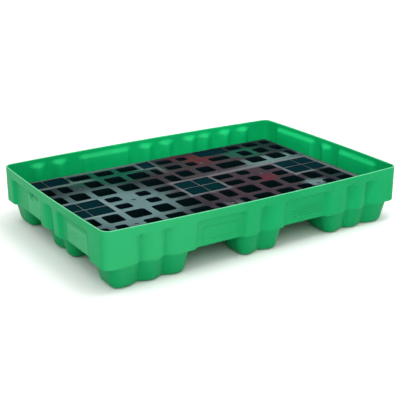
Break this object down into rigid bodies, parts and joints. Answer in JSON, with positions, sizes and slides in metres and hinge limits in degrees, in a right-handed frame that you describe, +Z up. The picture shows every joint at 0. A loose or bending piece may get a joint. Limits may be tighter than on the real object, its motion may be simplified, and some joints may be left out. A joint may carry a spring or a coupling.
{
  "type": "spill containment pallet",
  "caption": "Rectangular moulded sump tray on fluted pallet feet with a removable open-grid deck that carries containers above the spill sump.",
  "frame": {"origin": "on the floor, under the middle of the tray", "axes": "+X along the long side, +Y along the short side, +Z up"},
  "size_m": [1.2158, 0.8266, 0.2095],
  "materials": {
    "tray_green": "satin moulded polyethylene",
    "deck_dark": "glossy moulded plastic",
    "pad_dark": "matt moulded plastic",
    "screw_steel": "stainless steel"
  },
  "bodies": {
    "tray": {"sump_tray": "tray_green"},
    "main_panel": {"grating_main": "deck_dark", "support_pad_left": "pad_dark", "support_pad_right": "pad_dark", "support_pad_back_left": "pad_dark", "support_pad_front_left": "pad_dark", "support_pad_front_mid": "pad_dark", "support_pad_front_right": "pad_dark", "pad_screw_left": "screw_steel", "pad_screw_right": "screw_steel", "pad_screw_back_left": "screw_steel", "pad_screw_front_left": "screw_steel", "pad_screw_front_mid": "screw_steel", "pad_screw_front_right": "screw_steel"},
    "corner_panel": {"grating_corner": "deck_dark", "support_pad_corner_inner": "pad_dark", "support_pad_corner_outer": "pad_dark", "pad_screw_corner_inner": "screw_steel", "pad_screw_corner_outer": "screw_steel"}
  },
  "joints": [
    {"name": "main_panel_lift", "type": "slide", "parent": "tray", "child": "main_panel", "axis": [0, 0, 1], "range_m": [0, 0.16]},
    {"name": "corner_panel_lift", "type": "slide", "parent": "tray", "child": "corner_panel", "axis": [0, 0, 1], "range_m": [0, 0.2]}
  ]
}
